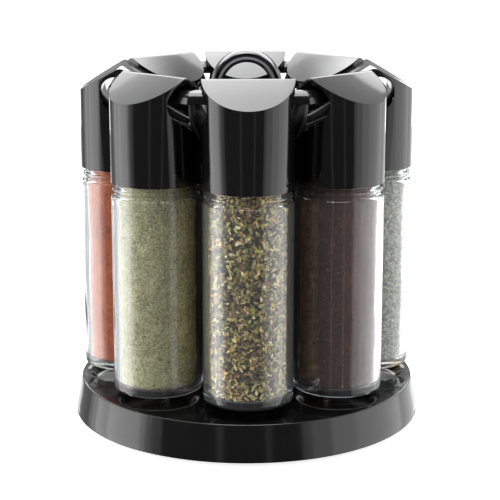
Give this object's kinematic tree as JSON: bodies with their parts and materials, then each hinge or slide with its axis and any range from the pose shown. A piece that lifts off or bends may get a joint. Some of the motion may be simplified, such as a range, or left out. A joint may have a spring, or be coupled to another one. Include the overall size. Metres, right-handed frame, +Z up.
{
  "type": "spice carousel",
  "caption": "Revolving spice rack: glass jars hang by hooked screw lids from an octagonal rail on a turning dish with a ring handle.",
  "frame": {"origin": "under the centre of the foot disc, on the surface that the rubber feet stand on", "axes": "+Z up along the axis the carousel turns about; jar 1 faces -Y and the jars are numbered towards +X"},
  "size_m": [0.1798, 0.1798, 0.1896],
  "materials": {
    "gloss_black": "polished moulded black plastic",
    "foot_rubber": "matt",
    "steel": "bright zinc plated",
    "cage_plastic": "natural moulded plastic",
    "sifter_plastic": "translucent natural plastic",
    "jar_glass": "clear pressed glass",
    "dried_herbs": "mixed dried herb flakes",
    "cinnamon": "fine dark brown powder",
    "thyme": "rubbed grey-green herb",
    "curry": "fine yellow powder",
    "black_pepper": "coarsely cracked dark pepper",
    "parsley": "dried green flakes",
    "paprika": "fine orange-red powder",
    "white_pepper": "fine pale green-beige powder"
  },
  "bodies": {
    "foot_plate": {"foot_disc": "gloss_black", "rubber_foot_1": "foot_rubber", "rubber_foot_2": "foot_rubber", "rubber_foot_3": "foot_rubber", "rubber_foot_4": "foot_rubber"},
    "carousel": {"base_dish": "gloss_black", "centre_drum": "gloss_black", "rail_frame": "gloss_black", "ring_handle": "gloss_black", "tie_rod": "steel", "thrust_washer": "steel", "lock_nut": "steel"},
    "ball_race": {"ball_cage": "cage_plastic", "ball_1": "steel", "ball_2": "steel", "ball_3": "steel", "ball_4": "steel", "ball_5": "steel", "ball_6": "steel", "ball_7": "steel", "ball_8": "steel"},
    "lid_1": {"lid_1": "gloss_black"},
    "jar_1": {"glass_jar_1": "jar_glass", "sifter_1": "sifter_plastic", "spice_1": "dried_herbs"},
    "lid_2": {"lid_2": "gloss_black"},
    "jar_2": {"glass_jar_2": "jar_glass", "sifter_2": "sifter_plastic", "spice_2": "cinnamon"},
    "lid_3": {"lid_3": "gloss_black"},
    "jar_3": {"glass_jar_3": "jar_glass", "sifter_3": "sifter_plastic", "spice_3": "thyme"},
    "lid_4": {"lid_4": "gloss_black"},
    "jar_4": {"glass_jar_4": "jar_glass", "sifter_4": "sifter_plastic", "spice_4": "curry"},
    "lid_5": {"lid_5": "gloss_black"},
    "jar_5": {"glass_jar_5": "jar_glass", "sifter_5": "sifter_plastic", "spice_5": "black_pepper"},
    "lid_6": {"lid_6": "gloss_black"},
    "jar_6": {"glass_jar_6": "jar_glass", "sifter_6": "sifter_plastic", "spice_6": "parsley"},
    "lid_7": {"lid_7": "gloss_black"},
    "jar_7": {"glass_jar_7": "jar_glass", "sifter_7": "sifter_plastic", "spice_7": "paprika"},
    "lid_8": {"lid_8": "gloss_black"},
    "jar_8": {"glass_jar_8": "jar_glass", "sifter_8": "sifter_plastic", "spice_8": "white_pepper"}
  },
  "joints": [
    {"name": "carousel_spin", "type": "hinge", "parent": "foot_plate", "child": "carousel", "pos_m": [0, 0, 0], "axis": [0, 0, 1], "continuous": true},
    {"name": "ball_race_spin", "type": "hinge", "parent": "foot_plate", "child": "ball_race", "pos_m": [0, 0, 0], "axis": [0, 0, 1], "continuous": true},
    {"name": "jar_1_lift_off", "type": "slide", "parent": "carousel", "child": "lid_1", "axis": [0, -0.8643, 0.503], "range_m": [0, 0.06]},
    {"name": "jar_1_unscrew", "type": "hinge", "parent": "lid_1", "child": "jar_1", "pos_m": [0, -0.063, 0.132], "axis": [0, 0, 1], "range_deg": [0, 360]},
    {"name": "jar_2_lift_off", "type": "slide", "parent": "carousel", "child": "lid_2", "axis": [0.6111, -0.6111, 0.503], "range_m": [0, 0.06]},
    {"name": "jar_2_unscrew", "type": "hinge", "parent": "lid_2", "child": "jar_2", "pos_m": [0.04455, -0.04455, 0.132], "axis": [0, 0, 1], "range_deg": [0, 360]},
    {"name": "jar_3_lift_off", "type": "slide", "parent": "carousel", "child": "lid_3", "axis": [0.8643, 0, 0.503], "range_m": [0, 0.06]},
    {"name": "jar_3_unscrew", "type": "hinge", "parent": "lid_3", "child": "jar_3", "pos_m": [0.063, 0, 0.132], "axis": [0, 0, 1], "range_deg": [0, 360]},
    {"name": "jar_4_lift_off", "type": "slide", "parent": "carousel", "child": "lid_4", "axis": [0.6111, 0.6111, 0.503], "range_m": [0, 0.06]},
    {"name": "jar_4_unscrew", "type": "hinge", "parent": "lid_4", "child": "jar_4", "pos_m": [0.04455, 0.04455, 0.132], "axis": [0, 0, 1], "range_deg": [0, 360]},
    {"name": "jar_5_lift_off", "type": "slide", "parent": "carousel", "child": "lid_5", "axis": [0, 0.8643, 0.503], "range_m": [0, 0.06]},
    {"name": "jar_5_unscrew", "type": "hinge", "parent": "lid_5", "child": "jar_5", "pos_m": [0, 0.063, 0.132], "axis": [0, 0, 1], "range_deg": [0, 360]},
    {"name": "jar_6_lift_off", "type": "slide", "parent": "carousel", "child": "lid_6", "axis": [-0.6111, 0.6111, 0.503], "range_m": [0, 0.06]},
    {"name": "jar_6_unscrew", "type": "hinge", "parent": "lid_6", "child": "jar_6", "pos_m": [-0.04455, 0.04455, 0.132], "axis": [0, 0, 1], "range_deg": [0, 360]},
    {"name": "jar_7_lift_off", "type": "slide", "parent": "carousel", "child": "lid_7", "axis": [-0.8643, 0, 0.503], "range_m": [0, 0.06]},
    {"name": "jar_7_unscrew", "type": "hinge", "parent": "lid_7", "child": "jar_7", "pos_m": [-0.063, 0, 0.132], "axis": [0, 0, 1], "range_deg": [0, 360]},
    {"name": "jar_8_lift_off", "type": "slide", "parent": "carousel", "child": "lid_8", "axis": [-0.6111, -0.6111, 0.503], "range_m": [0, 0.06]},
    {"name": "jar_8_unscrew", "type": "hinge", "parent": "lid_8", "child": "jar_8", "pos_m": [-0.04455, -0.04455, 0.132], "axis": [0, 0, 1], "range_deg": [0, 360]}
  ],
  "couplings": [
    {"joint": "ball_race_spin", "follows": "carousel_spin", "ratio": 0.5}
  ]
}
